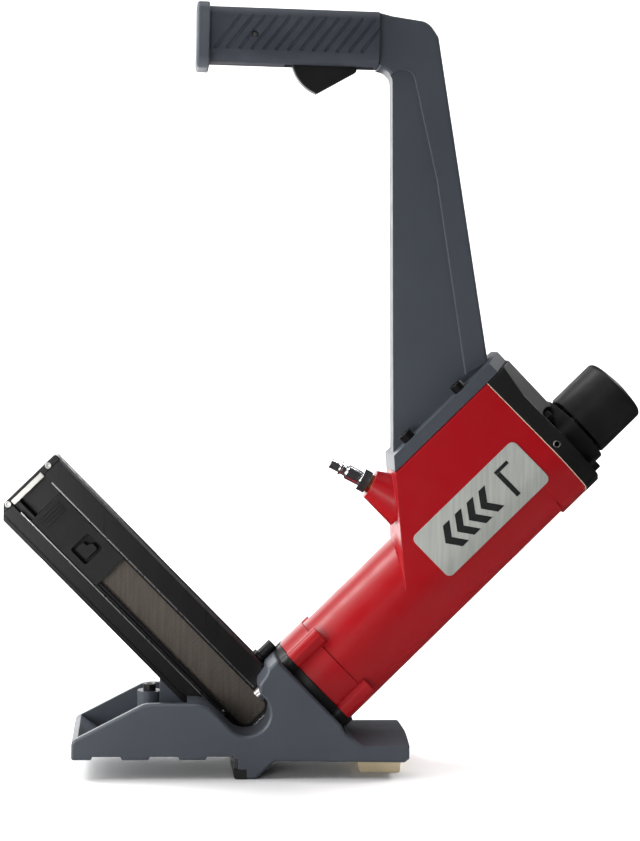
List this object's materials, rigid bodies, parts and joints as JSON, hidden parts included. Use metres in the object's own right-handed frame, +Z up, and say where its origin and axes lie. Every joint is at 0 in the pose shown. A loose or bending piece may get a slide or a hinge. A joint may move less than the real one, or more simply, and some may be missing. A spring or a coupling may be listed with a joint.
{
  "type": "flooring nailer",
  "caption": "Mallet-struck pneumatic flooring nailer: slanted cylinder on a notched base, upright handle with trigger, side-loading cleat magazine and an air plug.",
  "frame": {"origin": "centre of the footprint, on the plane the tool stands on", "axes": "+Z up, -X towards the board edge and the magazine's outer end, +X towards the strike cap, Y across the tool, magazine window on the -Y side"},
  "size_m": [0.5074, 0.1, 0.6046],
  "materials": {
    "slate_paint": "satin powder coat, dark slate grey",
    "red_paint": "gloss powder coat, deep red",
    "black_paint": "satin black coat",
    "black_anodised": "satin black anodised",
    "black_nylon": "fine moulded black nylon",
    "grey_nylon": "fine moulded slate grey nylon",
    "grip_rubber": "matt dark blue-grey rubber",
    "black_rubber": "matt black rubber",
    "tan_pad": "matt tan non-marking pad",
    "hard_steel": "ground tool steel",
    "black_screws": "black oxide",
    "zinc_steel": "bright zinc plate",
    "spring_steel": "oiled spring steel",
    "bare_aluminium": "machined",
    "bronze": "machined",
    "chrome": "bright nickel-chrome plate",
    "gasket": "compressed beige fibre",
    "cleat_steel": "resin-coated steel",
    "label": "satin silver printed plate"
  },
  "bodies": {
    "frame": {"air_plug": "chrome", "base_casting": "slate_paint", "base_pad": "tan_pad", "board_plates": "hard_steel", "boss_screw": "black_screws", "bumper": "black_rubber", "cleat_strip": "cleat_steel", "cylinder_liner": "bare_aluminium", "end_bracket": "zinc_steel", "end_screws": "zinc_steel", "flange_bolts": "zinc_steel", "flange_plate": "black_paint", "foot_inserts": "black_rubber", "grip": "grip_rubber", "grip_end_cap": "grey_nylon", "grip_pin": "hard_steel", "guide_bush": "bronze", "handle_arm": "slate_paint", "handle_bolts": "black_screws", "head_bolts": "black_screws", "head_cap": "black_paint", "head_gasket": "gasket", "housing": "red_paint", "inlet_bushing": "bronze", "label_plates": "label", "liner_rings": "black_rubber", "magazine_channel": "black_anodised", "magazine_end_plate": "black_anodised", "magazine_rails": "hard_steel", "magazine_screw": "black_screws", "nose_block": "hard_steel", "nose_plate": "hard_steel", "nose_screws": "black_screws", "pad_screws": "black_screws", "spring_strip": "spring_steel", "strike_spring": "spring_steel", "strip_anchor": "zinc_steel", "trigger_pin": "hard_steel", "trigger_spring": "spring_steel", "valve_plate": "bare_aluminium", "valve_sleeve": "bronze", "valve_spring": "spring_steel"},
    "striker": {"strike_cap": "black_nylon", "strike_stem": "hard_steel", "poppet_seal": "black_rubber"},
    "driver": {"piston": "bare_aluminium", "piston_ring": "spring_steel", "driver_blade": "hard_steel", "blade_pin": "hard_steel"},
    "trigger": {"trigger": "black_nylon"},
    "link": {"link_rod": "hard_steel", "valve_stem": "hard_steel"},
    "pusher": {"pusher": "black_nylon", "spring_roller": "hard_steel", "spring_coil": "spring_steel", "latch_spring": "spring_steel"},
    "latch": {"pusher_latch": "black_nylon"}
  },
  "joints": [
    {"name": "strike_slide", "type": "slide", "parent": "frame", "child": "striker", "axis": [-0.7071, 0, -0.7071], "range_m": [0, 0.014], "stiffness_N_per_m": 4000, "springref_m": -0.01, "deforming": ["strike_spring"]},
    {"name": "driver_slide", "type": "slide", "parent": "frame", "child": "driver", "axis": [-0.7071, 0, -0.7071], "range_m": [0, 0.067]},
    {"name": "trigger_pivot", "type": "hinge", "parent": "frame", "child": "trigger", "pos_m": [0.024, 0, 0.567], "axis": [0, 1, 0], "range_deg": [0, 7], "stiffness_Nm_per_rad": 0.8, "springref_deg": -6.88, "deforming": ["trigger_spring"]},
    {"name": "link_slide", "type": "slide", "parent": "frame", "child": "link", "axis": [0.1747, 0, -0.9846], "range_m": [0, 0.0063], "stiffness_N_per_m": 60, "springref_m": -0.006, "deforming": ["valve_spring"]},
    {"name": "pusher_slide", "type": "slide", "parent": "frame", "child": "pusher", "axis": [-0.7071, 0, 0.7071], "range_m": [0, 0.012], "stiffness_N_per_m": 80, "springref_m": -0.1, "deforming": ["spring_strip"]},
    {"name": "latch_press", "type": "slide", "parent": "pusher", "child": "latch", "axis": [0, 1, 0], "range_m": [0, 0.0015], "stiffness_N_per_m": 300, "springref_m": -0.002, "deforming": ["latch_spring"]}
  ],
  "couplings": [
    {"joint": "link_slide", "follows": "trigger_pivot", "m_per_rad": 0.0507}
  ]
}
